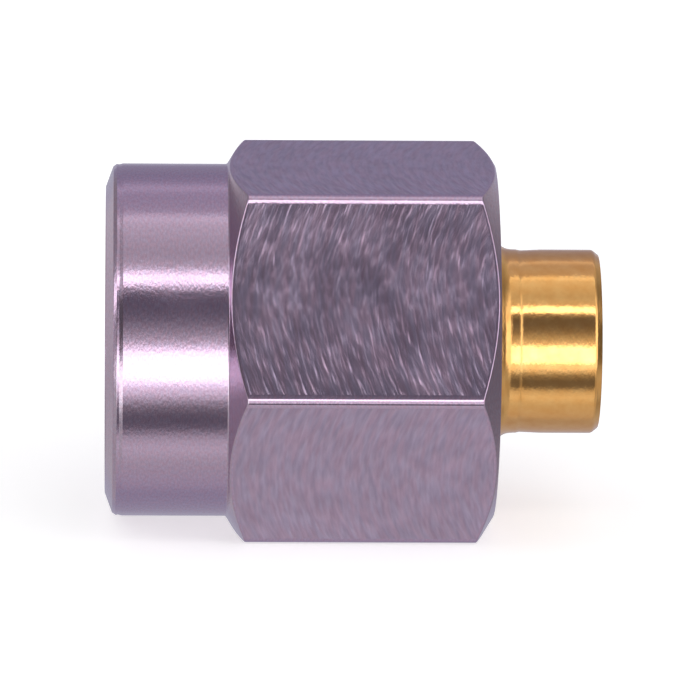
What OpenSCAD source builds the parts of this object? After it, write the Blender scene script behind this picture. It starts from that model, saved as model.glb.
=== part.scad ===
// Coaxial cable plug of the SMA size, straight, solder type, for 3.58 mm (0.141 in) semi-rigid cable.
// All sizes are in millimetres. The connector's axis is the X axis: the mating end faces -X and
// the cable leaves towards +X. The plane x = 0 is the mating plane, where the outer contact of
// this plug meets that of its socket. The coupling nut lies on one of its flats, and +Z is up.
// Each piece is turned on a lathe: its section is a list of [radius, x] points, spun about X.

/* [Coupling nut] */
// Length of the nut, from its front rim to its rear face
nut_length = 8.62; // [8.2:0.02:12]
// How far the nut's front rim stands ahead of the mating plane
nut_lead = 3.0; // [2.6:0.05:3.4]
// Diameter of the round collar at the front of the nut
collar_d = 7.82; // [7.4:0.02:8.2]
// Length of the round collar
collar_length = 2.68; // [1.5:0.02:4]
// Width of the flat land around the mouth of the thread
mouth_land = 0.02; // [0.01:0.01:0.1]
// How far the front face slopes back from that land out to the rim's chamfer
front_face_slope = 0.16; // [0.02:0.01:0.2]
// Length of the chamfer on the collar's front rim
rim_chamfer_length = 0.11; // [0.05:0.01:0.3]
// Depth of the chamfer on the collar's front rim
rim_chamfer_depth = 0.07; // [0.05:0.01:0.3]
// Spanner size of the hexagon, across its flats
across_flats = 8.0; // [7.9:0.05:9.5]
// Depth turned off each corner of the hexagon
corner_trim = 0.044; // [0.02:0.002:0.2]
// Angle of the hexagon's two chamfers from a plane square to the axis
hex_chamfer_angle = 31.5; // [20:0.5:45]
// Radial step from the flats in to the edge of the rear face
rear_face_step = 0.08; // [0.05:0.01:0.6]
// Width of the chamfer at the mouth of the thread
mouth_chamfer = 0.18; // [0.05:0.01:0.3]
// Thickness of the nut's rear wall, which pulls the body forward
rear_wall = 1.07; // [0.8:0.01:1.5]
// Width of the chamfer at the rear hole
rear_hole_chamfer = 0.1; // [0.02:0.01:0.2]

/* [Coupling thread] */
// Major diameter of the thread, a quarter of an inch
thread_d = 6.35; // [6:0.05:6.6]
// Radial gap between the bore and the crests of the socket's thread
thread_clearance = 0.025; // [0.01:0.005:0.1]
// How far ahead of the gasket the threaded bore ends
thread_end_gap = 0.2; // [0.1:0.05:0.6]

/* [Outer contact] */
// Outside diameter of the outer contact
contact_d = 4.58; // [4.4:0.01:4.8]
// Wall of the outer contact around the insulator
contact_wall = 0.225; // [0.18:0.005:0.3]
// Length of the outer contact ahead of the gasket
contact_length = 1.88; // [1.7:0.02:2.2]
// Width of the chamfer around the tip of the outer contact
contact_tip_chamfer = 0.04; // [0.01:0.01:0.08]

/* [Gasket] */
// Thickness of the gasket
gasket_thickness = 0.8; // [0.5:0.05:0.9]
// Width of the gasket's face
gasket_width = 0.42; // [0.34:0.01:0.5]
// Radius of the gasket's outer edges
gasket_round = 0.12; // [0.05:0.01:0.15]
// Radial gap between the gasket and its seat
gasket_clearance = 0.02; // [0.01:0.01:0.05]
// Depth to which the gasket's seat tapers, so that the gasket stays on
gasket_seat_taper = 0.06; // [0.02:0.01:0.08]

/* [Flange and tail] */
// How far the flange stands out past the gasket
flange_overhang = 0.02; // [0.01:0.01:0.1]
// Width of the chamfer on the flange's edges
flange_chamfer = 0.1; // [0.02:0.01:0.2]
// How far the nut's bearing on the body stands out of the nut's rear face
bearing_end = 0.13; // [0.01:0.01:0.2]
// Radius of the hollow round from that bearing down to the tail
tail_fillet = 0.2; // [0.1:0.01:0.25]
// Wall of the solder tail around the cable
tail_wall = 0.225; // [0.18:0.005:0.5]
// Length of the tail that shows behind the nut
tail_length = 2.32; // [2:0.02:4]
// Width of the chamfer at the tail's end
tail_chamfer = 0.1; // [0.02:0.01:0.12]
// Distance of the fine turned line from the tail's end
turned_line_offset = 1.755; // [0.3:0.005:1.8]
// Width of the fine turned line
turned_line_width = 0.07; // [0.03:0.01:0.2]
// Depth of the fine turned line
turned_line_depth = 0.02; // [0.01:0.005:0.04]

/* [Cable] */
// Outside diameter of the cable's copper jacket
cable_d = 3.58; // [3.3:0.02:3.7]
// Radial gap for solder around the jacket
cable_clearance = 0.025; // [0.01:0.005:0.05]
// Depth that the jacket goes into the tail
cable_depth = 4.1; // [3.5:0.05:4.4]
// Width of the chamfer at the mouth of the cable bore
cable_mouth_chamfer = 0.05; // [0.02:0.01:0.06]
// Thickness of the wall that stops the jacket
stop_wall = 0.6; // [0.3:0.05:0.8]
// Radial gap between the centre contact's shoulder and the window in that wall
window_gap = 0.6; // [0.3:0.05:0.7]
// Diameter of the cable's centre conductor
conductor_d = 0.92; // [0.8:0.01:1]
// Radial gap for solder around the centre conductor
conductor_clearance = 0.015; // [0.01:0.005:0.05]
// Depth that the centre conductor goes into the centre contact
conductor_depth = 2.0; // [1:0.05:2.8]

/* [Insulator] */
// Distance of the insulator's front face behind the mating plane
insulator_setback = 0.05; // [0.01:0.01:0.1]
// Radial gap at the seats of the insulator and of the centre contact
seat_clearance = 0.01; // [0.005:0.005:0.02]

/* [Centre contact] */
// Diameter of the pin
pin_d = 0.92; // [0.88:0.01:0.94]
// Length of the pin ahead of the mating plane
pin_length = 2.3; // [1.8:0.05:2.5]
// Length of the pin's tapered point
pin_point_length = 0.5; // [0.2:0.05:0.8]
// Diameter of the small flat at the pin's tip
pin_tip_d = 0.36; // [0.2:0.02:0.6]
// Wall of the shank around the centre conductor
shank_wall = 0.16; // [0.12:0.01:0.25]
// Radial step from the shank out to the shoulder behind the insulator
shoulder_step = 0.265; // [0.2:0.005:0.3]
// Diameter of the small hole that shows the solder
solder_hole_d = 0.26; // [0.14:0.02:0.28]

/* [Retaining ring] */
// Radial thickness of the ring's flat wire
ring_thickness = 0.55; // [0.45:0.01:0.6]
// Axial width of the ring's flat wire
ring_width = 0.5; // [0.3:0.05:0.55]
// Opening of the ring, as an angle
ring_opening = 36; // [15:1:90]
// Depth of the ring's groove in the flange
ring_groove_depth = 0.4; // [0.35:0.01:0.45]
// Gap on each side of the ring in its two grooves
ring_side_clearance = 0.05; // [0.02:0.01:0.1]
// Radial gap between the ring and the floor of each groove
ring_floor_clearance = 0.1; // [0.05:0.01:0.15]

/* [Running fit] */
// Radial gap between the nut and the body that it turns on
turning_clearance = 0.08; // [0.02:0.01:0.12]
// Axial play between the nut's rear wall and the flange
axial_play = 0.05; // [0.02:0.01:0.15]

/* [Hidden] */
$fn = 96;

// Radii of the nut
collar_r = collar_d / 2;
flat_r = across_flats / 2;
corner_r = flat_r / cos(30) - corner_trim;
rear_face_r = flat_r - rear_face_step;
thread_r = thread_d / 2 + thread_clearance;

// Places along the nut
nut_front = -nut_lead;
nut_rear = nut_front + nut_length;
collar_end = nut_front + collar_length;
hex_front = collar_end + (corner_r - collar_r) * tan(hex_chamfer_angle);
hex_rear = nut_rear - (corner_r - rear_face_r) * tan(hex_chamfer_angle);
thread_end = contact_length - thread_end_gap;
wall_face = nut_rear - rear_wall;

// Radii of the body
contact_r = contact_d / 2;
insulator_bore_r = contact_r - contact_wall;
insulator_r = insulator_bore_r - seat_clearance;
gasket_r = contact_r + gasket_clearance + gasket_width;
flange_r = gasket_r + flange_overhang;
cable_bore_r = cable_d / 2 + cable_clearance;
tail_r = cable_bore_r + tail_wall;
bearing_r = tail_r + tail_fillet;

// Radii of the nut's chamber and rear hole, which turn on the flange and on the bearing
chamber_r = flange_r + turning_clearance;
rear_hole_r = bearing_r + turning_clearance;

// Places along the body
flange_front = contact_length + gasket_thickness;
flange_rear = wall_face - axial_play;
bearing_rear = nut_rear + bearing_end;
tail_end = nut_rear + tail_length;
turned_line_x = tail_end - turned_line_offset;
jacket_stop = tail_end - cable_depth;
insulator_rear = jacket_stop - stop_wall;

// Radii of the centre contact, and of the window that its shoulder stands in
pin_r = pin_d / 2;
conductor_hole_r = conductor_d / 2 + conductor_clearance;
shank_r = conductor_hole_r + shank_wall;
shoulder_r = shank_r + shoulder_step;
window_r = shoulder_r + window_gap;
drill_point_angle = 31;

// The retaining ring and the two grooves that it lies in
ring_x = (flange_front + flange_rear) / 2;
groove_front = ring_x - ring_width / 2 - ring_side_clearance;
groove_rear = ring_x + ring_width / 2 + ring_side_clearance;
body_groove_r = flange_r - ring_groove_depth;
ring_inner_r = body_groove_r + ring_floor_clearance;
ring_outer_r = ring_inner_r + ring_thickness;
nut_groove_r = ring_outer_r + ring_floor_clearance;

// How far the cutter of the flats reaches past the metal
cut_overrun = 1;

// Spins a section of [radius, x] points about the X axis, all the way round unless told otherwise
module turned(angle = 360) {
    rotate([0, 90, 0]) rotate_extrude(angle = angle) children();
}

// Section of a plain ring between two radii and two places along the axis
module ring_section(inner_r, outer_r, from, to) {
    translate([inner_r, from]) square([outer_r - inner_r, to - from]);
}

// What a cutter takes off to leave the six flats, from the end of the collar to the rear face
module flats_cutter() {
    reach = corner_r - flat_r + cut_overrun;
    for (i = [0:5]) rotate([60 * i, 0, 0])
        translate([collar_end, -across_flats / 2, flat_r])
            cube([nut_rear - collar_end + cut_overrun, across_flats, reach]);
}

// Coupling nut: a round collar and a hexagon outside; inside, a threaded bore at its major
// diameter, a chamber for the flange with a groove for the ring, and a rear wall with a hole
module coupling_nut() {
    outside = [
        [thread_r + mouth_chamfer + mouth_land, nut_front],
        [collar_r - rim_chamfer_depth, nut_front + front_face_slope],
        [collar_r, nut_front + front_face_slope + rim_chamfer_length],
        [collar_r, collar_end],
        [corner_r, hex_front],
        [corner_r, hex_rear],
        [rear_face_r, nut_rear],
    ];
    inside = [
        [rear_hole_r + rear_hole_chamfer, nut_rear],
        [rear_hole_r, nut_rear - rear_hole_chamfer],
        [rear_hole_r, wall_face],
        [chamber_r, wall_face],
        [chamber_r, groove_rear],
        [nut_groove_r, groove_rear],
        [nut_groove_r, groove_front],
        [chamber_r, groove_front],
        [chamber_r, thread_end],
        [thread_r, thread_end],
        [thread_r, nut_front + mouth_chamfer],
        [thread_r + mouth_chamfer, nut_front],
    ];
    color([0.58, 0.53, 0.61]) difference() {
        turned() polygon(concat(outside, inside));
        flats_cutter();
    }
}

// Body: outer contact, gasket seat, flange with the ring's groove, bearing for the nut and solder
// tail in one turned piece, bored from the front for the insulator and from the rear for the cable
module body() {
    fillet = [for (a = [0:15:90]) [
        bearing_r - tail_fillet * sin(a),
        bearing_rear + tail_fillet * (1 - cos(a)),
    ]];
    to_bearing = [
        [contact_r - contact_tip_chamfer, 0],
        [contact_r, contact_tip_chamfer],
        [contact_r, contact_length],
        [contact_r - gasket_seat_taper, flange_front],
        [flange_r - flange_chamfer, flange_front],
        [flange_r, flange_front + flange_chamfer],
        [flange_r, groove_front],
        [body_groove_r, groove_front],
        [body_groove_r, groove_rear],
        [flange_r, groove_rear],
        [flange_r, flange_rear - flange_chamfer],
        [flange_r - flange_chamfer, flange_rear],
        [bearing_r, flange_rear],
    ];
    to_tail_end = [
        [tail_r, turned_line_x - turned_line_width / 2],
        [tail_r - turned_line_depth, turned_line_x],
        [tail_r, turned_line_x + turned_line_width / 2],
        [tail_r, tail_end - tail_chamfer],
        [tail_r - tail_chamfer, tail_end],
    ];
    inside = [
        [cable_bore_r + cable_mouth_chamfer, tail_end],
        [cable_bore_r, tail_end - cable_mouth_chamfer],
        [cable_bore_r, jacket_stop],
        [window_r, jacket_stop],
        [window_r, insulator_rear],
        [insulator_bore_r, insulator_rear],
        [insulator_bore_r, 0],
    ];
    color([0.86, 0.66, 0.27]) turned()
        polygon(concat(to_bearing, fillet, to_tail_end, inside));
}

// Insulator: a plain sleeve between the outer contact and the centre contact
module insulator() {
    color([0.93, 0.93, 0.90]) turned()
        ring_section(shank_r + seat_clearance, insulator_r, insulator_setback, insulator_rear);
}

// Centre contact: pointed pin, shank, shoulder behind the insulator and a drilled solder cup
module centre_contact() {
    cup_floor = jacket_stop - conductor_depth;
    section = [
        [0, -pin_length],
        [pin_tip_d / 2, -pin_length],
        [pin_r, pin_point_length - pin_length],
        [pin_r, insulator_setback],
        [shank_r, insulator_setback],
        [shank_r, insulator_rear],
        [shoulder_r, insulator_rear],
        [shoulder_r, jacket_stop],
        [conductor_hole_r, jacket_stop],
        [conductor_hole_r, cup_floor],
        [0, cup_floor - conductor_hole_r * tan(drill_point_angle)],
    ];
    color([0.90, 0.71, 0.30]) difference() {
        turned() polygon(section);
        translate([(insulator_rear + jacket_stop) / 2, 0, 0])
            cylinder(d = solder_hole_d, h = 2 * shoulder_r);
    }
}

// Gasket: a soft ring against the flange, on the tapered seat, with its two outer edges rounded
module gasket() {
    inner_r = contact_r + gasket_clearance;
    core_r = gasket_r - gasket_round;
    round_places = [contact_length + gasket_round, flange_front - gasket_round];
    color([0.74, 0.29, 0.18]) turned() {
        polygon([
            [inner_r, contact_length],
            [core_r, contact_length],
            [core_r, flange_front],
            [inner_r - gasket_seat_taper, flange_front],
        ]);
        ring_section(inner_r, gasket_r, round_places[0], round_places[1]);
        for (x = round_places) translate([core_r, x]) circle(r = gasket_round);
    }
}

// Retaining ring: open ring of flat wire, half in the flange's groove and half in the nut's
module retaining_ring() {
    color([0.72, 0.50, 0.30]) rotate([ring_opening / 2, 0, 0]) turned(360 - ring_opening)
        ring_section(ring_inner_r, ring_outer_r, ring_x - ring_width / 2, ring_x + ring_width / 2);
}

coupling_nut();
body();
insulator();
centre_contact();
gasket();
retaining_ring();
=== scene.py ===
# %% [markdown]
# # A coaxial cable plug with a hexagon coupling nut
# The object is a small screw-on plug for a radio-frequency cable. A steel nut turns freely on a
# gold-plated brass body. Inside the nut stand a pin, a white insulator and a red gasket, and the
# gold tail at the other end is the sleeve that a cable is soldered into.
# Nearly every face of it was cut on a lathe, so almost every piece here is one profile carried
# round the X axis. The lesson shows how to do that with whole numpy arrays.

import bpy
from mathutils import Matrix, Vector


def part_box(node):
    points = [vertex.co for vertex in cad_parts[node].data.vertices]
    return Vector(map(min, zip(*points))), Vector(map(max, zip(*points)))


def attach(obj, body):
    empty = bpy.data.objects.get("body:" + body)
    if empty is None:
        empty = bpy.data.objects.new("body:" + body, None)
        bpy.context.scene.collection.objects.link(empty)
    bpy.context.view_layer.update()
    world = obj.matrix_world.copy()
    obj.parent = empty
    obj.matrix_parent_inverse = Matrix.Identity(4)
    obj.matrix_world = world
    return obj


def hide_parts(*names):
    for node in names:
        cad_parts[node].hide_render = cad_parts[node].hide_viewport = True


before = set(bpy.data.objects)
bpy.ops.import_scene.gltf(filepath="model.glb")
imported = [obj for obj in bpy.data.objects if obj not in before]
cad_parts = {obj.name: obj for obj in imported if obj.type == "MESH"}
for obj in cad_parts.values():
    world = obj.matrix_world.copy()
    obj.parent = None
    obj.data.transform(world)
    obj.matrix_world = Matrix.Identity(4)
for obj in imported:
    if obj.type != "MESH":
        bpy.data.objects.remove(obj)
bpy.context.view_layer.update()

# %% Other modules
import math

import bpy
import numpy as np
from mathutils import Quaternion, Vector

# %% [markdown]
# ## Sizes
# The sizes below are in millimetres, as on a workshop drawing, and `mm` turns them into the
# metres that the scene uses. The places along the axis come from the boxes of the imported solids,
# so a piece can't drift away from the solid that it stands for.

# %% Places along the axis
mm = 0.001


def reach(node):
    """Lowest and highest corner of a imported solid, in millimetres."""
    low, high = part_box(node)
    return np.array(low) / mm, np.array(high) / mm


nut_low, nut_high = reach("coupling_nut")
gasket_low, gasket_high = reach("gasket")
ring_low, ring_high = reach("retaining_ring")
insulator_low, insulator_high = reach("insulator")
pin_low, pin_high = reach("centre_contact")
nut_front, nut_rear, tail_end = nut_low[0], nut_high[0], reach("body")[1][0]
print("nut from %.2f to %.2f mm, tail ends at %.2f mm" % (nut_front, nut_rear, tail_end))

# %% [markdown]
# ## The camera
# A long lens far away keeps the sides of such a small thing nearly parallel, as they are in
# a catalogue. The camera looks down at it by 17 degrees and comes from a little to the left of
# square on, so the rear face of the nut just fails to show. A slight roll levels the hexagon.

# %% Camera
camera_azimuth, camera_elevation = math.radians(-2.0), math.radians(17.2)
camera_roll, camera_distance, camera_lens, film_width = 0.0145, 180.0, 416.3, 36.0
aim = np.array([2.439, 0.0, -0.225])
back = np.array([
    math.sin(camera_azimuth) * math.cos(camera_elevation),
    -math.cos(camera_azimuth) * math.cos(camera_elevation),
    math.sin(camera_elevation),
])
camera = bpy.data.objects.new("camera", bpy.data.cameras.new("camera"))
bpy.context.scene.collection.objects.link(camera)
camera.location = Vector((aim + back * camera_distance) * mm)
level = Vector(-back).to_track_quat("-Z", "Y")
camera.rotation_euler = (level @ Quaternion((0, 0, 1), camera_roll)).to_euler()
camera.data.lens, camera.data.sensor_width = camera_lens, film_width
camera.data.clip_start, camera.data.clip_end = 0.01, 10.0
bpy.context.scene.camera = camera
bpy.context.scene.view_settings.view_transform = "Standard"
print("the view is %.2f mm wide at the plug" % (film_width / camera_lens * camera_distance))

# %% [markdown]
# ## Nodes in a few words
# The studio and the finishes are node trees. They could be wired line by line, but a few helpers
# keep them short enough to read. All of them let an input be an output of another node, written
# as (node, socket), or a colour, or a number.


# %% Helpers for node trees
def add(tree, kind, **values):
    """Adds a node and sets its own properties by name."""
    node = tree.nodes.new(kind)
    for name, value in values.items():
        setattr(node, name, value)
    return node


def give(tree, value, node, socket):
    """Gives an input its value: an output as (node, socket), a colour or a number."""
    if not isinstance(value, tuple):
        node.inputs[socket].default_value = value
    elif isinstance(value[0], bpy.types.Node):
        tree.links.new(value[0].outputs[value[1]], node.inputs[socket])
    else:
        node.inputs[socket].default_value = (*value, 1.0)


def calc(tree, operation, *values):
    """One Math node on numbers and outputs."""
    node = add(tree, "ShaderNodeMath", operation=operation)
    for socket, value in enumerate(values):
        give(tree, value, node, socket)
    return (node, 0)


def ranged(tree, value, low, high, to_low=0.0, to_high=1.0, kind="LINEAR"):
    """Map Range: carries low..high to to_low..to_high and clamps it there."""
    node = add(tree, "ShaderNodeMapRange", interpolation_type=kind)
    for socket, number in enumerate((value, low, high, to_low, to_high)):
        give(tree, number, node, socket)
    return (node, 0)


def mixed(tree, share, low, high, kind="MIX"):
    """Mix of two colours by a share from 0 to 1; a plain number stands for a grey."""
    mix = add(tree, "ShaderNodeMix", data_type="RGBA", blend_type=kind)
    give(tree, share, mix, 0)
    for socket, value in ((6, low), (7, high)):
        give(tree, value if isinstance(value, tuple) else (value,) * 3, mix, socket)
    return (mix, 2)


def either(tree, share, first, second):
    """Mix Shader: the first shader where share is 0, the second where it is 1."""
    mix = add(tree, "ShaderNodeMixShader")
    for socket, value in enumerate((share, first, second)):
        give(tree, value, mix, socket)
    return (mix, 0)


# %% [markdown]
# ## The studio
# Bright metal shows what stands round it more than it shows itself. The round collar and the gold
# tail are like two convex mirrors: each band on them is one lamp or one dark part of the studio.
# The room is a world whose brightness depends on the direction only: a broad soft lamp level with
# the plug in front, a narrow one higher up, dark gaps beside each, and a mid tone over and under.
# The cones, the fillet and the tool marks look sideways, so the two side walls have bands too: the
# front lamp runs on into the left wall, and a second soft lamp stands to the right in front.
# Lamps of real size would do the same, but they would stand in the way of a camera on another
# side.
#
# A band is (angle, brightness or colour). The angle goes round the X axis: -180 is behind, -90
# below, 0 level in front, 90 above and 180 behind again.

# %% The bands of the room
room_bands = [
    (-180, (0.48, 0.49, 0.58)), (-102, (0.42, 0.42, 0.49)), (-93, (0.53, 0.52, 0.57)),
    (-70, 0.60), (-58, 0.80), (-49, 0.60), (-43, (0.17, 0.17, 0.19)),
    (-34, (0.15, 0.15, 0.17)), (-27, 0.28), (-22, 0.72), (-17, 1.20), (-13.5, 1.4), (-12.2, 0.7),
    (-10.8, 2.8), (8.5, 2.7), (12.8, 0.88), (20, 0.50), (29, (0.24, 0.24, 0.26)),
    (36, (0.16, 0.16, 0.185)), (46, (0.14, 0.14, 0.165)), (51.8, 0.32), (54.0, 2.9), (59.5, 2.8),
    (62.5, 0.70), (74, 0.55), (99, 0.80), (103.5, 1.10), (109, (0.52, 0.50, 0.56)),
    (128, (0.48, 0.46, 0.54)), (135, (0.70, 0.67, 0.76)), (141, (0.42, 0.40, 0.49)),
    (152, (0.34, 0.33, 0.42)),
]
left_bands = [
    (-180, 0.66), (-165, 0.60), (-150, 0.54), (-120, 0.52), (-60, (0.56, 0.61, 0.56)),
    (-38, (0.66, 0.73, 0.66)), (-30, (1.2, 1.35, 1.2)), (-23, (2.2, 2.45, 2.2)),
    (-3, (2.1, 2.3, 2.1)), (4, 0.40), (10, 0.12),
    (45, 0.12), (50, 0.55), (60, 0.60), (69, 0.38), (130, 0.36), (155, 0.34), (174, 0.36),
    (180, 0.66),
]
right_bands = [
    (-180, 0.48), (-155, 0.50), (-143, 0.42), (-100, 0.48), (-76, 0.50), (-60, 0.42),
    (-42, 0.42), (-30, 0.60), (-22, 1.3), (-17, 1.5), (42, 1.5), (50, 1.3), (57, 1.06),
    (73, 1.15), (88, 0.60), (101, 0.42), (125, 0.50), (148, 0.45), (180, 0.46),
]
print("bands of the room:", len(room_bands), len(left_bands), len(right_bands))

# %% [markdown]
# The world needs the angle of every direction (x, y, z) above the floor: atan2(z, -y). A colour
# ramp then reads the bands. A ramp holds colours up to 1 only, so the bands are divided by the
# strength of the brightest lamp, and the background multiplies them by it again.

# %% The angle of a direction and the ramps
world = bpy.data.worlds.new("studio")
bpy.context.scene.world = world
world.use_nodes = True
room = world.node_tree
room.nodes.clear()
lamp_strength = 3.0
split = add(room, "ShaderNodeSeparateXYZ")
give(room, (add(room, "ShaderNodeTexCoord"), "Generated"), split, 0)
to_right, to_rear, upwards = (split, 0), (split, 1), (split, 2)
to_left, to_front, downwards = (calc(room, "MULTIPLY", way, -1.0)
                                for way in (to_right, to_rear, upwards))
angle_share = calc(room, "MULTIPLY_ADD", calc(room, "ARCTAN2", upwards, to_front),
                   1 / (2 * math.pi), 0.5)
print("strength of the brightest lamp:", lamp_strength)


def wall(bands):
    """Colour over the angle, from bands of (angle, brightness or colour)."""
    ramp = add(room, "ShaderNodeValToRGB")
    give(room, angle_share, ramp, 0)
    stops = ramp.color_ramp.elements
    stops.remove(stops[-1])
    for number, (band_angle, colour) in enumerate(bands):
        place = band_angle / 360 + 0.5
        stop = stops[0] if number == 0 else stops.new(place)
        stop.position = place
        stop.color = (*(np.broadcast_to(colour, 3) / lamp_strength), 1.0)
    return (ramp, 0)


def eased(value, low, high):
    """Share that rises smoothly from 0 at low to 1 at high."""
    return ranged(room, value, low, high, kind="SMOOTHSTEP")


# %% [markdown]
# The walls join by smooth steps in x, which is 1 straight to the right and -1 straight to the
# left. Each wall ends in tones of its own there, without bands. A slot of light high in the left
# wall draws the line on the front arc. The right wall's end is brighter high up and low down, and
# the wall itself is darker towards the rear.

# %% The walls and the room
left_end, slot_light = 0.56, 2.2
slot_bands = [(-180, 0), (55, 0), (61, 3), (80, 3), (88, 0), (180, 0)]
right_end, right_end_low, right_high, right_back = 0.14, 0.40, 0.50, 0.20

far_right = mixed(room, eased(downwards, 0.15, 0.40),
                  right_end / lamp_strength, right_end_low / lamp_strength)
far_right = mixed(room, eased(upwards, 0.42, 0.65), far_right, right_high / lamp_strength)
behind = calc(room, "MULTIPLY", eased(to_rear, 0.05, 0.30), eased(to_right, 0.45, 0.92))
right_wall = mixed(room, behind, wall(right_bands), right_back / lamp_strength)
right_wall = mixed(room, eased(to_right, 0.90, 0.98), right_wall, far_right)

left_wall = mixed(room, eased(to_left, 0.88, 0.96), wall(left_bands), left_end / lamp_strength)
in_slot = calc(room, "MULTIPLY", wall(slot_bands), eased(to_left, 0.50, 0.62))
left_wall = mixed(room, in_slot, left_wall, slot_light / lamp_strength)

room_light = mixed(room, eased(to_right, 0.30, 0.58), wall(room_bands), right_wall)
room_light = mixed(room, eased(to_left, 0.28, 0.44), room_light, left_wall)
print("nodes of the walls:", len(room.nodes))

# %% [markdown]
# The camera itself sees plain white round the plug. Every other ray, whether it comes from the
# metal or from the floor, sees the bands.

# %% The world's output
lamps = add(room, "ShaderNodeBackground")
give(room, lamp_strength, lamps, "Strength")
give(room, room_light, lamps, "Color")
paper = add(room, "ShaderNodeBackground")
give(room, (1.0, 1.0, 1.0), paper, "Color")
ray = add(room, "ShaderNodeLightPath")
seen = either(room, (ray, "Is Camera Ray"), (lamps, 0), (paper, 0))
give(room, seen, add(room, "ShaderNodeOutputWorld"), 0)
print("nodes of the room:", len(room.nodes))

# %% [markdown]
# ## The floor
# A pale sheet under the plug. It is white to the camera and keeps the plug's soft shadow. To the
# metal it is clear, because in the room above the pale sheet is one of the bands already. It is
# clear from below too, so the plug's underside can be looked at through it. It lies a hair below
# the flat that the plug rests on, since two faces in one plane would flicker.

# %% Floor
floor_gap, floor_half = 0.008, 400.0
floor_height = nut_low[2] - floor_gap
floor_corners = np.array([[-1, -1, 0], [1, -1, 0], [1, 1, 0], [-1, 1, 0]]) * floor_half
floor_corners[:, 2] = floor_height
floor_mesh = bpy.data.meshes.new("floor")
floor_mesh.from_pydata((floor_corners * mm).tolist(), [], [[0, 1, 2, 3]])
floor = bpy.data.objects.new("floor", floor_mesh)
bpy.context.scene.collection.objects.link(floor)
print("floor at z = %.2f mm" % floor_height)

# %% The floor's finish
sheet_white, sheet_glow = 0.85, 0.55
floor_finish = bpy.data.materials.new("pale_floor")
floor_finish.use_nodes = True
tree = floor_finish.node_tree
tree.nodes.clear()
sheet = add(tree, "ShaderNodeBsdfDiffuse")
give(tree, (sheet_white,) * 3, sheet, "Color")
lift = add(tree, "ShaderNodeEmission")
give(tree, sheet_glow, lift, "Strength")
lit = add(tree, "ShaderNodeAddShader")
give(tree, (sheet, 0), lit, 0)
give(tree, (lift, 0), lit, 1)
clear = (add(tree, "ShaderNodeBsdfTransparent"), 0)
ray = add(tree, "ShaderNodeLightPath")
to_camera = either(tree, (ray, "Is Camera Ray"), (sheet, 0), (lit, 0))
to_metal = either(tree, (ray, "Is Glossy Ray"), to_camera, clear)
side = add(tree, "ShaderNodeNewGeometry")
from_above = either(tree, (side, "Backfacing"), to_metal, clear)
give(tree, from_above, add(tree, "ShaderNodeOutputMaterial"), 0)
floor_mesh.materials.append(floor_finish)
print("finish:", floor_finish.name)

# %% [markdown]
# ## Turned metal as a grid
# A lathe moves a tool along a profile while the work spins. The same two parameters make the
# surface here: how far along the profile, and how far round. First comes the profile, whose
# corners get small rounds, because a real edge is never quite sharp and its round catches light.
# A Bevel modifier would do it too, but worn and crisp edges would each need a weight painted on.


# %% A profile with rounded corners
def rounded(corners, rounds, steps, hold):
    """Closed profile with its corners rounded.

    corners is [corner, column, 2] in (radius, place), so a corner may move from column to column.
    Each corner C with neighbours P and N becomes the circular arc of the given radius that
    touches both sides. The arc is the rational curve
    ((1-t)^2 A + 2 w t (1-t) C + t^2 B) / ((1-t)^2 + 2 w t (1-t) + t^2), where A and B are the
    touching points and w is the sine of half the angle at C. A point outside each end of the arc,
    a hair away by the length hold, keeps the shading of the plain faces. On a short side both
    lengths shrink to a share of it.
    """
    touch_share, hold_share = 0.42, 0.07
    before = np.roll(corners, 1, axis=0) - corners
    after = np.roll(corners, -1, axis=0) - corners
    long_before = np.linalg.norm(before, axis=-1, keepdims=True)
    long_after = np.linalg.norm(after, axis=-1, keepdims=True)
    before, after = before / long_before, after / long_after
    half = np.arccos(np.clip((before * after).sum(-1, keepdims=True), -1, 1)) / 2
    touch = np.asarray(rounds, float)[:, None, None] / np.tan(np.maximum(half, 1e-3))
    touch = np.minimum(touch, touch_share * np.minimum(long_before, long_after))
    start, end, weight = corners + before * touch, corners + after * touch, np.sin(half)
    out = []
    for k, count in enumerate(steps):
        t = np.linspace(0, 1, count + 1)[:, None, None]
        a, b, c = (1 - t) ** 2, 2 * weight[k] * t * (1 - t), t**2
        arc = (a * start[k] + b * corners[k] + c * end[k]) / (a + b + c)
        first = start[k] + before[k] * np.minimum(hold, hold_share * long_before[k])
        last = end[k] + after[k] * np.minimum(hold, hold_share * long_after[k])
        out.append(np.concatenate([first[None], arc, last[None]]))
    return np.concatenate(out)


def profile_of(rows, columns=1, hold=0.012):
    """Closed profile [row, column, 2] from rows of (radius, place, round, steps).

    A radius or a place is one number, or an array with a number for every column.
    """
    corners = np.stack([
        np.stack(np.broadcast_arrays(r, x, np.zeros(columns))[:2], axis=-1) for r, x, _, _ in rows
    ])
    return rounded(corners, [row[2] for row in rows], [row[3] for row in rows], hold)


# %% [markdown]
# The profile then goes round the axis. The points are (place, radius cos a, radius sin a) for
# every angle a, and the faces join each point to its neighbour along and round. Blender's Screw
# modifier does the same for a plain profile, but not for one that changes on its way round.


# %% The grid and its faces
def spun(profile, angles):
    """Points (x, r cos a, r sin a) of a profile [row, column, 2] at the angles of the columns."""
    r, x = profile[..., 0], profile[..., 1]
    x, r, a = np.broadcast_arrays(x, r, angles[None, :])
    return np.stack([x, r * np.cos(a), r * np.sin(a)], axis=-1)


def grid_faces(rows, columns, rows_close=True, columns_close=True):
    """Corner numbers [row, column, 4] of the faces of a grid, closed on itself where asked.

    The point in row i and column j has the number i * columns + j.
    """
    i = np.arange(rows if rows_close else rows - 1)[:, None]
    j = np.arange(columns if columns_close else columns - 1)[None, :]
    i_next, j_next = (i + 1) % rows, (j + 1) % columns
    return np.stack(np.broadcast_arrays(
        i * columns + j, i * columns + j_next, i_next * columns + j_next, i_next * columns + j
    ), axis=-1)


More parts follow.
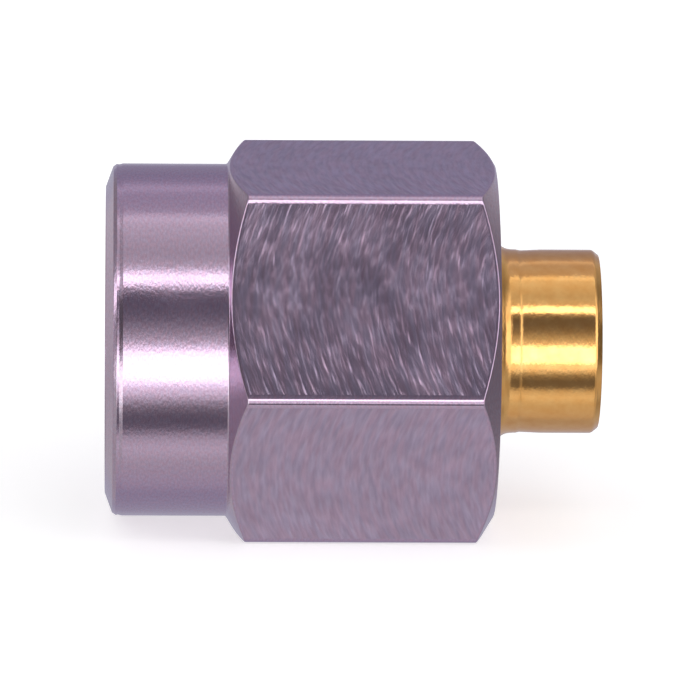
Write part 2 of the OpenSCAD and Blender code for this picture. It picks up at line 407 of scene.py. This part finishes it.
def grid_map(u, v):
    """Map corners [row, column, 4, 2] for the faces of a grid, from u and v at its lines."""
    u, v = np.broadcast_arrays(u, v)
    corners = [(u[:-1, :-1], v[:-1, :-1]), (u[:-1, 1:], v[:-1, 1:]),
               (u[1:, 1:], v[1:, 1:]), (u[1:, :-1], v[1:, :-1])]
    return np.stack([np.stack(c, axis=-1) for c in corners], axis=2)


def lengths_along(line):
    """Distance along a line of points, counted from its first one."""
    return np.concatenate([[0], np.cumsum(np.linalg.norm(np.diff(line, axis=0), axis=1))])


# %% [markdown]
# A shell is a list of points and the parts made of them: (faces, map, finish number). A ring is
# closed on itself both ways. A thread's ridge or an open spring ring is closed round its section
# only, so it needs a cap at either end.


# %% Shells
def turned_shell(profile, angles):
    """One closed shell from a closed profile that is the same all the way round.

    The map is the distance along the profile, and the distance round at the largest radius.
    """
    closed = np.concatenate([profile[:, 0], profile[:1, 0]])
    turn = np.append(angles, angles[0] + 2 * np.pi) * closed[:, 0].max()
    mapped = grid_map(lengths_along(closed)[:, None], turn[None, :])
    return spun(profile, angles), [(grid_faces(len(profile), len(angles)), mapped, 0)]


def swept_shell(profile, angles, mapped=None):
    """A closed shell that stops at its first and last angle, with a cap at either end."""
    rows, columns = len(profile), len(angles)
    first = np.arange(rows)[None, :] * columns
    caps = np.concatenate([first[:, ::-1], first + columns - 1])
    faces = grid_faces(rows, columns, columns_close=False)
    return spun(profile, angles), [(faces, mapped, 0), (caps, None, 0)]


def signed_volume(points, faces):
    """Volume inside a closed mesh: the sum of a.(b x c)/6 over triangles fanned from each face."""
    a, b, c = points[faces[:, 0]], points[faces[:, 1:-1]], points[faces[:, 2:]]
    return (a[:, None] * np.cross(b, c)).sum() / 6


# %% [markdown]
# One helper puts arrays into a mesh. It takes several shells at a time, turns a shell over if its
# volume comes out negative, so that every face points outwards, and keeps a map named "grain"
# that says which way the tool marks run.


# %% Shells gathered into one mesh
def gathered(shells):
    """Points, face corners, face sizes, map corners and finish numbers of all shells together.

    The faces of a shell whose signed volume is negative are turned over.
    """
    all_points, all_loops, all_sizes, all_maps, all_finish, base = [], [], [], [], [], 0
    for points, parts in shells:
        points = points.reshape(-1, 3)
        sets = [(f.reshape(-1, f.shape[-1]), m, k) for f, m, k in parts]
        inside_out = sum(signed_volume(points, f) for f, _, _ in sets) < 0
        for faces, mapped, finish in sets:
            mapped = np.zeros(faces.shape + (2,)) if mapped is None else mapped
            mapped = mapped.reshape(faces.shape + (2,))
            if inside_out:
                faces, mapped = faces[:, ::-1], mapped[:, ::-1]
            all_loops.append((faces + base).ravel())
            all_sizes.append(np.full(len(faces), faces.shape[1]))
            all_maps.append(mapped.reshape(-1, 2))
            all_finish.append(np.broadcast_to(finish, len(faces)))
        all_points.append(points)
        base += len(points)
    return [np.concatenate(every)
            for every in (all_points, all_loops, all_sizes, all_maps, all_finish)]


# %% From arrays to an object
def make_piece(name, shells, finishes, body, node):
    """Makes a mesh object from shells in millimetres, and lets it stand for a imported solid."""
    points, loops, sizes, maps, finish_numbers = gathered(shells)
    starts = np.concatenate([[0], np.cumsum(sizes)[:-1]])
    mesh = bpy.data.meshes.new(name)
    mesh.vertices.add(len(points))
    mesh.vertices.foreach_set("co", (points * mm).astype(np.float32).ravel())
    mesh.loops.add(len(loops))
    mesh.loops.foreach_set("vertex_index", loops.astype(np.int32))
    mesh.polygons.add(len(sizes))
    mesh.polygons.foreach_set("loop_start", starts.astype(np.int32))
    mesh.polygons.foreach_set("material_index", finish_numbers.astype(np.int32))
    mesh.polygons.foreach_set("use_smooth", np.ones(len(sizes), bool))
    grain = mesh.uv_layers.new(name="grain")
    grain.data.foreach_set("uv", maps.astype(np.float32).ravel())
    for finish in finishes:
        mesh.materials.append(finish)
    mesh.update(calc_edges=True)
    mesh.validate()
    piece = bpy.data.objects.new(name, mesh)
    bpy.context.scene.collection.objects.link(piece)
    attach(piece, body)
    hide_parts(node)
    print("%s: %d triangles" % (name, (sizes - 2).sum()))


# %% [markdown]
# ## The finishes
# Both metals need the marks that the tools left. A lathe leaves fine rings, which the map named
# "grain" lays across its first direction; the face of a milling cutter leaves short arcs.
# Noise stretched along the second direction gives both. It goes into the bump, and on the steel
# a little into the colour too, while a slower noise moves the roughness. So the marks glitter
# where a band of the room ends and stay quiet elsewhere. Engraving them into the mesh would take
# millions of faces.


# %% Helpers for materials
def new_finish(name):
    """A new material, its node tree and its Principled shader."""
    finish = bpy.data.materials.new(name)
    finish.use_nodes = True
    tree = finish.node_tree
    tree.nodes.clear()
    shader = add(tree, "ShaderNodeBsdfPrincipled")
    give(tree, (shader, 0), add(tree, "ShaderNodeOutputMaterial"), 0)
    return finish, tree, shader


def noise(tree, vector, scale, stretch=(1, 1, 1), detail=2.0, rough=0.5, shift=(0, 0, 0)):
    """Noise on a vector that is first scaled along each direction."""
    spread = add(tree, "ShaderNodeMapping")
    spread.inputs["Scale"].default_value = stretch
    spread.inputs["Location"].default_value = shift
    give(tree, vector, spread, 0)
    marks = add(tree, "ShaderNodeTexNoise")
    give(tree, (spread, 0), marks, "Vector")
    give(tree, scale, marks, "Scale")
    give(tree, detail, marks, "Detail")
    give(tree, rough, marks, "Roughness")
    return (marks, 0)


def bumped(tree, shader, height, depth):
    """Bump of the given depth in metres, from a height between 0 and 1."""
    bump = add(tree, "ShaderNodeBump")
    give(tree, depth, bump, "Distance")
    give(tree, height, bump, "Height")
    give(tree, (bump, 0), shader, "Normal")


def clouded(tree, shader, cloud, dark, light, dull):
    """Colour from dark to light, and roughness over the range dull, where a noise is high."""
    low, high = 0.3, 0.7
    give(tree, mixed(tree, ranged(tree, cloud, low, high), dark, light), shader, "Base Color")
    give(tree, ranged(tree, cloud, low, high, *dull), shader, "Roughness")


# %% [markdown]
# ### Steel
# The nut is passivated stainless steel with a faint lilac cast. The collar and the cones are
# turned, and the six flats were milled one by one, which leaves them duller and streaky. Both are
# one recipe with other numbers. An anisotropic shader would smear the reflections alike, but it
# would leave no single marks.


# %% Steel, turned and milled
def steel(name, marks_per_mm, depth, dull, dark, light, detail, stain=0.0):
    """Steel with tool marks: their number across and along the map, and their depth in metres.

    dull is the lowest and highest roughness, which drift over about a millimetre, and stain is
    how much the colour drifts with them. Some marks are a little warmer, others a little cooler.
    """
    finish, tree, shader = new_finish(name)
    grain, stretch = (add(tree, "ShaderNodeUVMap", uv_map="grain"), 0), (*marks_per_mm, 1)
    fine = noise(tree, grain, 1.0, stretch, detail=detail, rough=0.55)
    broad = noise(tree, grain, 0.4, stretch, shift=(3.1, 5.7, 0))
    cast = noise(tree, grain, 0.7, stretch, detail=1.0, shift=(9.4, 2.6, 0))
    patch = noise(tree, grain, 0.9, shift=(1.9, 4.3, 0))
    bumped(tree, shader, calc(tree, "MULTIPLY_ADD", broad, 0.4, fine), depth)
    slow_range = (0.35, 0.65)
    tint = mixed(tree, ranged(tree, fine, 0.33, 0.67), dark, light)
    warm_cool = mixed(tree, ranged(tree, cast, 0.38, 0.62), (1.0, 0.955, 0.94), (0.95, 1.0, 1.0))
    drift = mixed(tree, ranged(tree, patch, *slow_range), 1.0 - stain, 1.0 + stain)
    for layer in (warm_cool, drift):
        tint = mixed(tree, 1.0, tint, layer, kind="MULTIPLY")
    give(tree, tint, shader, "Base Color")
    give(tree, ranged(tree, patch, *slow_range, *dull), shader, "Roughness")
    give(tree, 1.0, shader, "Metallic")
    return finish


turned_steel = steel(
    "turned_steel", marks_per_mm=(22.0, 10.0), depth=0.0000030, dull=(0.145, 0.175),
    dark=(0.515, 0.376, 0.52), light=(0.60, 0.446, 0.60), detail=3.0,
)
milled_steel = steel(
    "milled_steel", marks_per_mm=(9.2, 1.75), depth=0.0000225, dull=(0.195, 0.25),
    dark=(0.48, 0.363, 0.498), light=(0.585, 0.449, 0.603), detail=1.3, stain=0.05,
)
print("finishes:", turned_steel.name, milled_steel.name)

# %% [markdown]
# ### Gold plate
# Electroplated gold over turned brass. The plating follows the rings of the tool, and it is
# smoother and brighter than the steel. A slower noise stains it a little, as handling does. One
# flat colour would look like paint.

# %% Gold plate
gold_plate, tree, shader = new_finish("gold_plate")
grain = (add(tree, "ShaderNodeUVMap", uv_map="grain"), 0)
rings = noise(tree, grain, 1.0, stretch=(16.0, 5.0, 1), detail=3.0, rough=0.6)
stain = noise(tree, grain, 2.2, stretch=(1.6, 1, 1), detail=3.0)
bumped(tree, shader, rings, 0.0000034)
clouded(tree, shader, stain, (0.93, 0.47, 0.145), (1.0, 0.56, 0.20), dull=(0.07, 0.12))
give(tree, 1.0, shader, "Metallic")
print("finish:", gold_plate.name)

# %% [markdown]
# ### Insulator, gasket and ring
# The insulator is white fluoropolymer, waxy and slightly see-through; the gasket is red silicone
# rubber with a satin skin; the retaining ring is bronze wire. None of them shows from the side,
# but the first two do when the plug is turned to face the viewer. Plain noise on the object's own
# coordinates is enough for them.

# %% White fluoropolymer
insulator_white, tree, shader = new_finish("insulator_white")
place_on = (add(tree, "ShaderNodeTexCoord"), "Object")
clouded(tree, shader, noise(tree, place_on, 900.0, detail=3.0),
        (0.80, 0.80, 0.77), (0.88, 0.88, 0.86), dull=(0.34, 0.46))
bumped(tree, shader, noise(tree, place_on, 12000.0), 0.000002)
give(tree, 0.25, shader, "Subsurface Weight")
shader.inputs["Subsurface Radius"].default_value = (0.0006, 0.0005, 0.0004)
give(tree, 1.0, shader, "Subsurface Scale")
give(tree, 1.35, shader, "IOR")
print("finish:", insulator_white.name)

# %% Red silicone rubber
gasket_red, tree, shader = new_finish("gasket_red")
place_on = (add(tree, "ShaderNodeTexCoord"), "Object")
clouded(tree, shader, noise(tree, place_on, 1400.0, detail=3.0),
        (0.46, 0.055, 0.025), (0.56, 0.085, 0.04), dull=(0.42, 0.56))
bumped(tree, shader, noise(tree, place_on, 16000.0), 0.000002)
give(tree, 1.41, shader, "IOR")
print("finish:", gasket_red.name)

# %% Bronze wire
ring_bronze, tree, shader = new_finish("ring_bronze")
place_on = (add(tree, "ShaderNodeTexCoord"), "Object")
drawn = noise(tree, place_on, 5000.0, detail=3.0)
clouded(tree, shader, drawn, (0.50, 0.28, 0.12), (0.66, 0.38, 0.18), dull=(0.24, 0.36))
bumped(tree, shader, drawn, 0.000002)
give(tree, 1.0, shader, "Metallic")
print("finish:", ring_bronze.name)

# %% [markdown]
# ## The coupling nut
# The nut starts as a turned bar with a round collar and two cones. Six flats are then milled on
# it, and where a flat meets a cone the edge is a shallow arc. It could be cut with Booleans, but
# the arcs come out ragged. Here each column round the axis has its own profile: the height of the
# hexagon changes with the angle, and the cones end where they reach that height, so the arcs
# fall out of the arithmetic and can be rounded like any other corner.

# %% Sizes of the nut
flat_r, corner_r = nut_high[2], 4.5747
collar_r, collar_length = 3.91, 2.68
cone_tan = math.tan(math.radians(31.5))
rear_face_r = flat_r - 0.08
rear_hole_r, wall_thickness, hole_bevel = 2.32, 1.07, 0.10
thread_r, thread_end, mouth_bevel = 3.20, 1.68, 0.18
chamber_r, ring_groove_r = 2.83, 3.10
ring_clearance = 0.05
groove_front, groove_rear = ring_low[0] - ring_clearance, ring_high[0] + ring_clearance
print("corner radius off the box by %.4f mm" % (nut_high[1] - corner_r))


# %% The columns round the hexagon
def hexagon_columns(flat_steps=22, land_steps=2):
    """Angles and heights round the hexagon, with the edges of the flats worn round.

    A flat has the height flat_r / cos(a) at the angle a from its middle, and the land left of
    the bar has the height corner_r. The worn edge between them is a chain of short steps, each
    leaning from the flat by an angle t: a step of the length s goes s cos(t) along the flat and
    drops s sin(t) below it. The chain starts where its far end just meets the height corner_r.
    Two columns close before it keep the shading of the flat.
    """
    sides, near, nearest = 6, 0.05, 0.02
    lean = np.radians([1.5, 5.5, 5.5, 6.5, 12, 17, 22, 24, 28])
    step = np.array([0.012, 0.030, 0.030, 0.020, 0.006, 0.008, 0.014, 0.012, 0.004])
    drop, far = np.cumsum(step * np.sin(lean)), np.cumsum(step * np.cos(lean))
    start = math.sqrt(corner_r**2 - (flat_r - drop[-1]) ** 2) - far[-1]
    flat = np.append(np.linspace(0, start - near, flat_steps), [start - nearest, start])
    across, up = np.append(flat, start + far), np.append(np.full(len(flat), flat_r), flat_r - drop)
    angle, height = np.arctan2(across, up), np.hypot(across, up)
    land = np.linspace(angle[-1], math.radians(30), land_steps + 1)[1:]
    angle, height = np.append(angle, land), np.append(height, np.full(land_steps, corner_r))
    on_flat = (np.arange(len(angle)) < len(flat)).astype(float)
    angle = np.concatenate([-angle[-2:0:-1], angle])
    height = np.concatenate([height[-2:0:-1], height])
    on_flat = np.concatenate([on_flat[-2:0:-1], on_flat])
    turns = np.arange(sides)[:, None] * math.radians(60) - math.radians(90)
    return ((turns + angle).ravel(), np.tile(height, sides), np.tile(on_flat, sides),
            np.tile(angle, sides), np.repeat(np.arange(sides), len(angle)))


angles, height, on_flat, from_middle, flat_number = hexagon_columns()
print("columns round the nut: %d, least step %.5f" % (len(angles), np.diff(angles).min()))

# %% [markdown]
# The front face slopes back a little towards the rim, a small bevel follows, and behind it the
# parting tool left a hair-thin ridge and dip. They are only tenths of a millimetre wide, and they
# make the lines at the left edge of the collar.

# %% The profile of every column
collar_end = nut_front + collar_length
wall_face = nut_rear - wall_thickness
front_arc = collar_end + (height - collar_r) * cone_tan
rear_arc = nut_rear - (height - rear_face_r) * cone_tan
outside = [
    # radius, place, round, steps
    (thread_r + 0.20, nut_front, 0.01, 2),
    (collar_r - 0.07, nut_front + 0.16, 0.06, 5),
    (collar_r - 0.012, nut_front + 0.24, 0.02, 4),
    (collar_r - 0.021, nut_front + 0.29, 0.02, 3),
    (collar_r, nut_front + 0.375, 0.04, 4),
    (collar_r, collar_end, 0.05, 5),
    (height, front_arc, 0.055, 6),
    (height, rear_arc, 0.055, 6),
    (rear_face_r, nut_rear, 0.03, 4),
]
inside = [
    (rear_hole_r + hole_bevel, nut_rear, 0.02, 3),
    (rear_hole_r, nut_rear - hole_bevel, 0.02, 3),
    (rear_hole_r, wall_face, 0.02, 2),
    (chamber_r, wall_face, 0.03, 2),
    (chamber_r, groove_rear, 0.01, 2),
    (ring_groove_r, groove_rear, 0.02, 2),
    (ring_groove_r, groove_front, 0.02, 2),
    (chamber_r, groove_front, 0.01, 2),
    (chamber_r, thread_end, 0.03, 2),
    (thread_r, thread_end, 0.03, 2),
    (thread_r, nut_front + mouth_bevel, 0.02, 3),
    (thread_r + mouth_bevel, nut_front, 0.02, 3),
]
rows = outside + inside
profile = profile_of(rows, len(angles), hold=0.03)
print("rows along the nut:", len(profile))

# %% [markdown]
# The map of the nut has two parts. On turned faces it is the distance along the profile and the
# distance round, so the marks are rings. On a flat it is (u, v), where v is the distance across
# and u is the place along the axis less the sag of an arc, R - sqrt(R^2 - v^2), of the cutter's
# radius R. So the marks are the arcs that the rim of a milling cutter leaves, and each flat reads
# its own stretch of the noise.

# %% The map of the tool marks
row_length = np.linalg.norm(np.diff(np.concatenate([profile, profile[:1]]), axis=0), axis=-1)
along = np.concatenate([[np.zeros(len(angles))], np.cumsum(row_length, axis=0)])
turn = np.append(angles, angles[0] + 2 * np.pi) * collar_r
ring_map = grid_map(np.pad(along, ((0, 0), (0, 1)), mode="wrap"), turn[None, :])

cutter_r, flat_spacing = 6.5, 20.0
across = profile[..., 0] * np.sin(from_middle)
sag = cutter_r - np.sqrt(cutter_r**2 - across**2)
streaks = profile[..., 1] - sag + flat_spacing * flat_number
flat_map = grid_map(*(np.pad(m, ((0, 1), (0, 1)), mode="wrap") for m in (streaks, across)))
print("map of the nut: %d by %d faces" % ring_map.shape[:2])

# %% [markdown]
# A corner with n steps makes n + 3 rows of points: n + 1 on its arc and one held beside each end.
# The flats are the faces between the last row of the front arc and the first of the rear one.

# %% Which faces are milled
row_start = np.concatenate([[0], np.cumsum([steps + 3 for _, _, _, steps in rows])])
rear_corner = len(outside) - 2
between_arcs = np.arange(len(profile)) == row_start[rear_corner] - 1
milled = between_arcs[:, None] & (on_flat > 0)[None, :] & (np.roll(on_flat, -1) > 0)[None, :]
nut_map = np.where(milled[..., None, None], flat_map, ring_map)
nut_shell = (spun(profile, angles),
             [(grid_faces(len(profile), len(angles)), nut_map, milled.ravel().astype(int))])
print("faces on the flats:", int(milled.sum()))

# %% [markdown]
# ## The thread
# The nut screws onto a socket with a fine inch thread, 36 turns to the inch. The ridge left
# between the turns is a blunt wedge carried along a helix: the place is
# start + pitch * a / (2 pi) at the angle a. Its foot is sunk into the wall of the bore, and its
# height tapers to nothing at both ends, as where a tap starts and stops.

# %% The helical ridge
pitch, thread_turns, steps_per_turn = 25.4 / 36, 6.0, 90
thread_start, foot_r = nut_front + 0.32, thread_r + 0.03
section = np.array([
    # height above the foot, place across, in millimetres
    (0.0, -0.262), (0.30, -0.094), (0.33, -0.066), (0.33, 0.066), (0.30, 0.094), (0.0, 0.262),
])
ridge_height, ridge_across = section[:, :1], section[:, 1:]
sweep = np.linspace(0, 2 * np.pi * thread_turns, int(steps_per_turn * thread_turns) + 1)
taper_angle, taper_power = 0.6 * np.pi, 0.7
taper = np.clip(np.minimum(sweep, sweep[-1] - sweep) / taper_angle, 0.0, 1.0) ** taper_power
ridge_x = thread_start + pitch * sweep / (2 * np.pi) + ridge_across
ridge = np.stack([foot_r - ridge_height * taper, ridge_x], axis=-1)
round_section, section_end = section.sum(axis=1), 1.0
ridge_map = grid_map(np.append(round_section, section_end)[:, None], (sweep * thread_r)[None, :])
print("thread from %.2f to %.2f mm" % (ridge_x.min(), ridge_x.max()))

# %% The nut as one piece
make_piece("nut_turned", [nut_shell, swept_shell(ridge, sweep, ridge_map)],
           [turned_steel, milled_steel], "nut", "coupling_nut")

# %% [markdown]
# ## The body
# One bar of brass makes the outer contact, the flange that the nut pulls on, the bearing that the
# nut turns on, and the solder tail. From the bearing the bar runs out to the tail in a hollow
# curve, which is steep at the nut and flattens over half a millimetre, and a shallow line goes
# round the tail just behind it. The bevel at the end is steep enough to look past the lamps.

# %% Sizes of the body
contact_r, contact_bevel, seat_depth = 2.29, 0.04, 0.06
insulator_bore_r = 2.065
flange_r, flange_bevel, groove_floor_r = 2.75, 0.10, 2.35
axial_play = 0.05
flange_rear = wall_face - axial_play
bearing_r, tail_r, end_drop = 2.24, 2.04, 0.115
cable_bore_r, bore_bevel, window_r = 1.815, 0.05, 1.50
line_x, jacket_stop = tail_end - 1.77, tail_end - 4.10
round_angles = np.linspace(0, 2 * np.pi, 240, endpoint=False) - np.pi / 2
print("the cable goes in as far as %.2f mm" % jacket_stop)

# %% [markdown]
# Three curves of the tail are given by points, each as (radius above the tail, place).

# %% The curves of the tail
run_out = np.array([
    # place behind the nut
    (0.200, -0.020), (0.152, 0.065), (0.097, 0.140), (0.074, 0.170), (0.055, 0.200),
    (0.039, 0.230), (0.026, 0.260), (0.0174, 0.290), (0.0104, 0.330), (0.0047, 0.380),
    (0.001, 0.440),
]) + (tail_r, nut_rear)
turned_line = np.array([
    # place behind the line
    (0.0, -0.065), (-0.003, -0.042), (-0.010, -0.014), (-0.0155, 0.012), (-0.0185, 0.034),
    (-0.0195, 0.055), (0.0, 0.500),
]) + (tail_r, line_x)
worn_end = np.array([
    # place behind the tail's end
    (0.0, -0.185), (-0.002, -0.165), (-0.008, -0.142), (-0.018, -0.122), (-0.031, -0.103),
    (-0.047, -0.085),
]) + (tail_r, tail_end)
print("points of the curves:", len(run_out), len(turned_line), len(worn_end))

# %% The body's profile
body_rows = [
    # radius, place, round, steps
    (insulator_bore_r, 0.0, 0.01, 2),
    (contact_r - contact_bevel, 0.0, 0.015, 3),
    (contact_r, contact_bevel, 0.015, 3),
    (contact_r, gasket_low[0], 0.01, 2),
    (contact_r - seat_depth, gasket_high[0], 0.02, 2),
    (flange_r - flange_bevel, gasket_high[0], 0.02, 3),
    (flange_r, gasket_high[0] + flange_bevel, 0.02, 3),
    (flange_r, groove_front, 0.01, 2),
    (groove_floor_r, groove_front, 0.02, 2),
    (groove_floor_r, groove_rear, 0.02, 2),
    (flange_r, groove_rear, 0.01, 2),
    (flange_r, flange_rear - flange_bevel, 0.02, 3),
    (flange_r - flange_bevel, flange_rear, 0.02, 3),
    (bearing_r, flange_rear, 0.03, 2),
    *((r, x, 0.20, 1) for r, x in run_out),
    (tail_r, nut_rear + 0.50, 0.20, 1),
    *((r, x, 0.20, 1) for r, x in turned_line),
    *((r, x, 0.10, 1) for r, x in worn_end),
    (tail_r - end_drop, tail_end, 0.02, 4),
    (cable_bore_r + bore_bevel, tail_end, 0.015, 3),
    (cable_bore_r, tail_end - bore_bevel, 0.015, 3),
    (cable_bore_r, jacket_stop, 0.04, 3),
    (window_r, jacket_stop, 0.02, 3),
    (window_r, insulator_high[0], 0.02, 2),
    (insulator_bore_r, insulator_high[0], 0.03, 2),
]
make_piece("body_turned", [turned_shell(profile_of(body_rows), round_angles)],
           [gold_plate], "plug_body", "body")

# %% [markdown]
# ## The insulator
# A plain sleeve of white fluoropolymer that holds the pin in the middle of the outer contact.
# A cylinder with a hole would do, but its edges would be sharp, which such a waxy plastic never
# is. So it is a profile of four corners, each a little round, carried round the axis.

# %% Insulator
sleeve_inner_r, sleeve_outer_r = 0.645, 2.055
insulator_rows = [
    (sleeve_inner_r, insulator_low[0], 0.02, 3),
    (sleeve_outer_r, insulator_low[0], 0.04, 4),
    (sleeve_outer_r, insulator_high[0], 0.03, 3),
    (sleeve_inner_r, insulator_high[0], 0.02, 3),
]
make_piece("insulator_sleeve", [turned_shell(profile_of(insulator_rows), round_angles)],
           [insulator_white], "plug_body", "insulator")

# %% [markdown]
# ## The gasket
# A ring of red silicone rubber that lies against the flange and keeps water out of the thread.
# A torus would be too round for it. It is the same kind of profile, with its outer corners
# moulded well round, and a bore that narrows towards the flange as its seat on the body does.

# %% Gasket
gasket_r, gasket_bore_r, gasket_seat_r = gasket_high[2], 2.31, 2.25
gasket_rows = [
    (gasket_bore_r, gasket_low[0], 0.03, 3),
    (gasket_r, gasket_low[0], 0.12, 8),
    (gasket_r, gasket_high[0], 0.12, 8),
    (gasket_seat_r, gasket_high[0], 0.02, 3),
]
make_piece("gasket_ring", [turned_shell(profile_of(gasket_rows), round_angles)],
           [gasket_red], "plug_body", "gasket")

# %% [markdown]
# ## The retaining ring
# An open ring of flat bronze wire that snaps into the grooves of the body and the nut, and lets
# the nut turn but not slip off. Its opening points down. It is the same section carried round
# again, but only part of the way, with a cap at either end.

# %% Retaining ring
ring_inner_r, ring_outer_r, edge_round = 2.45, 3.00, 0.05
opening = math.radians(36)
ring_rows = [
    (ring_inner_r, ring_low[0], edge_round, 3), (ring_outer_r, ring_low[0], edge_round, 3),
    (ring_outer_r, ring_high[0], edge_round, 3), (ring_inner_r, ring_high[0], edge_round, 3),
]
ring_angles = np.linspace(opening / 2, 2 * np.pi - opening / 2, 181) - np.pi / 2
make_piece("ring_wire", [swept_shell(profile_of(ring_rows), ring_angles)],
           [ring_bronze], "plug_body", "retaining_ring")

# %% [markdown]
# ## The centre contact
# A pointed pin in front, a thicker shank that the insulator holds, a shoulder behind it, and a
# cup bored in the rear for the cable's own conductor. Both ends close on the axis, so the first
# and last rings of the grid each shrink to one point with a fan of triangles round it.


# %% A turned shell that closes on the axis at both ends
def spindle_shell(profile, angles, map_r):
    """Closed shell from an open profile [row, 2] whose first and last points are on the axis.

    The map is the distance along the profile, and the distance round at the radius map_r.
    """
    ring_rows, columns = profile[1:-1], len(angles)
    points = spun(ring_rows[:, None, :], angles).reshape(-1, 3)
    tips = np.array([[profile[0, 1], 0, 0], [profile[-1, 1], 0, 0]])
    turn = np.append(angles, angles[0] + 2 * np.pi) * map_r
    mapped = grid_map(lengths_along(ring_rows)[:, None], turn[None, :])
    faces = grid_faces(len(ring_rows), columns, rows_close=False)
    j = np.arange(columns)
    j_next, last, n = (j + 1) % columns, (len(ring_rows) - 1) * columns, len(points)
    front = np.stack([np.full(columns, n), j_next, j], axis=-1)
    rear = np.stack([np.full(columns, n + 1), last + j, last + j_next], axis=-1)
    fans = np.concatenate([front, rear])
    return np.concatenate([points, tips]), [(faces, mapped, 0), (fans, None, 0)]


# %% Centre contact
pin_r, shank_r, shoulder_r, cup_r = 0.46, 0.635, 0.90, 0.475
tip_r, taper_length = 0.18, 0.50
cup_floor, drill_slope = jacket_stop - 2.0, math.tan(math.radians(31))
drill_tip = cup_floor - cup_r * drill_slope
pin_rows = [
    (0.0, pin_low[0], 0.0, 1),
    (tip_r, pin_low[0], 0.06, 5),
    (pin_r, pin_low[0] + taper_length, 0.15, 6),
    (pin_r, insulator_low[0], 0.02, 2),
    (shank_r, insulator_low[0], 0.02, 3),
    (shank_r, insulator_high[0], 0.01, 2),
    (shoulder_r, insulator_high[0], 0.03, 3),
    (shoulder_r, pin_high[0], 0.03, 3),
    (cup_r, pin_high[0], 0.02, 3),
    (cup_r, cup_floor, 0.02, 2),
    (0.0, drill_tip, 0.0, 1),
]
pin_profile, on_axis_r = profile_of(pin_rows)[:, 0], 1e-6
off_axis = pin_profile[pin_profile[:, 0] >= on_axis_r]
pin_profile = np.concatenate([[[0.0, pin_low[0]]], off_axis, [[0.0, drill_tip]]])
pin_angles = np.linspace(0, 2 * np.pi, 96, endpoint=False)
make_piece("centre_contact_turned", [spindle_shell(pin_profile, pin_angles, map_r=0.6)],
           [gold_plate], "plug_body", "centre_contact")
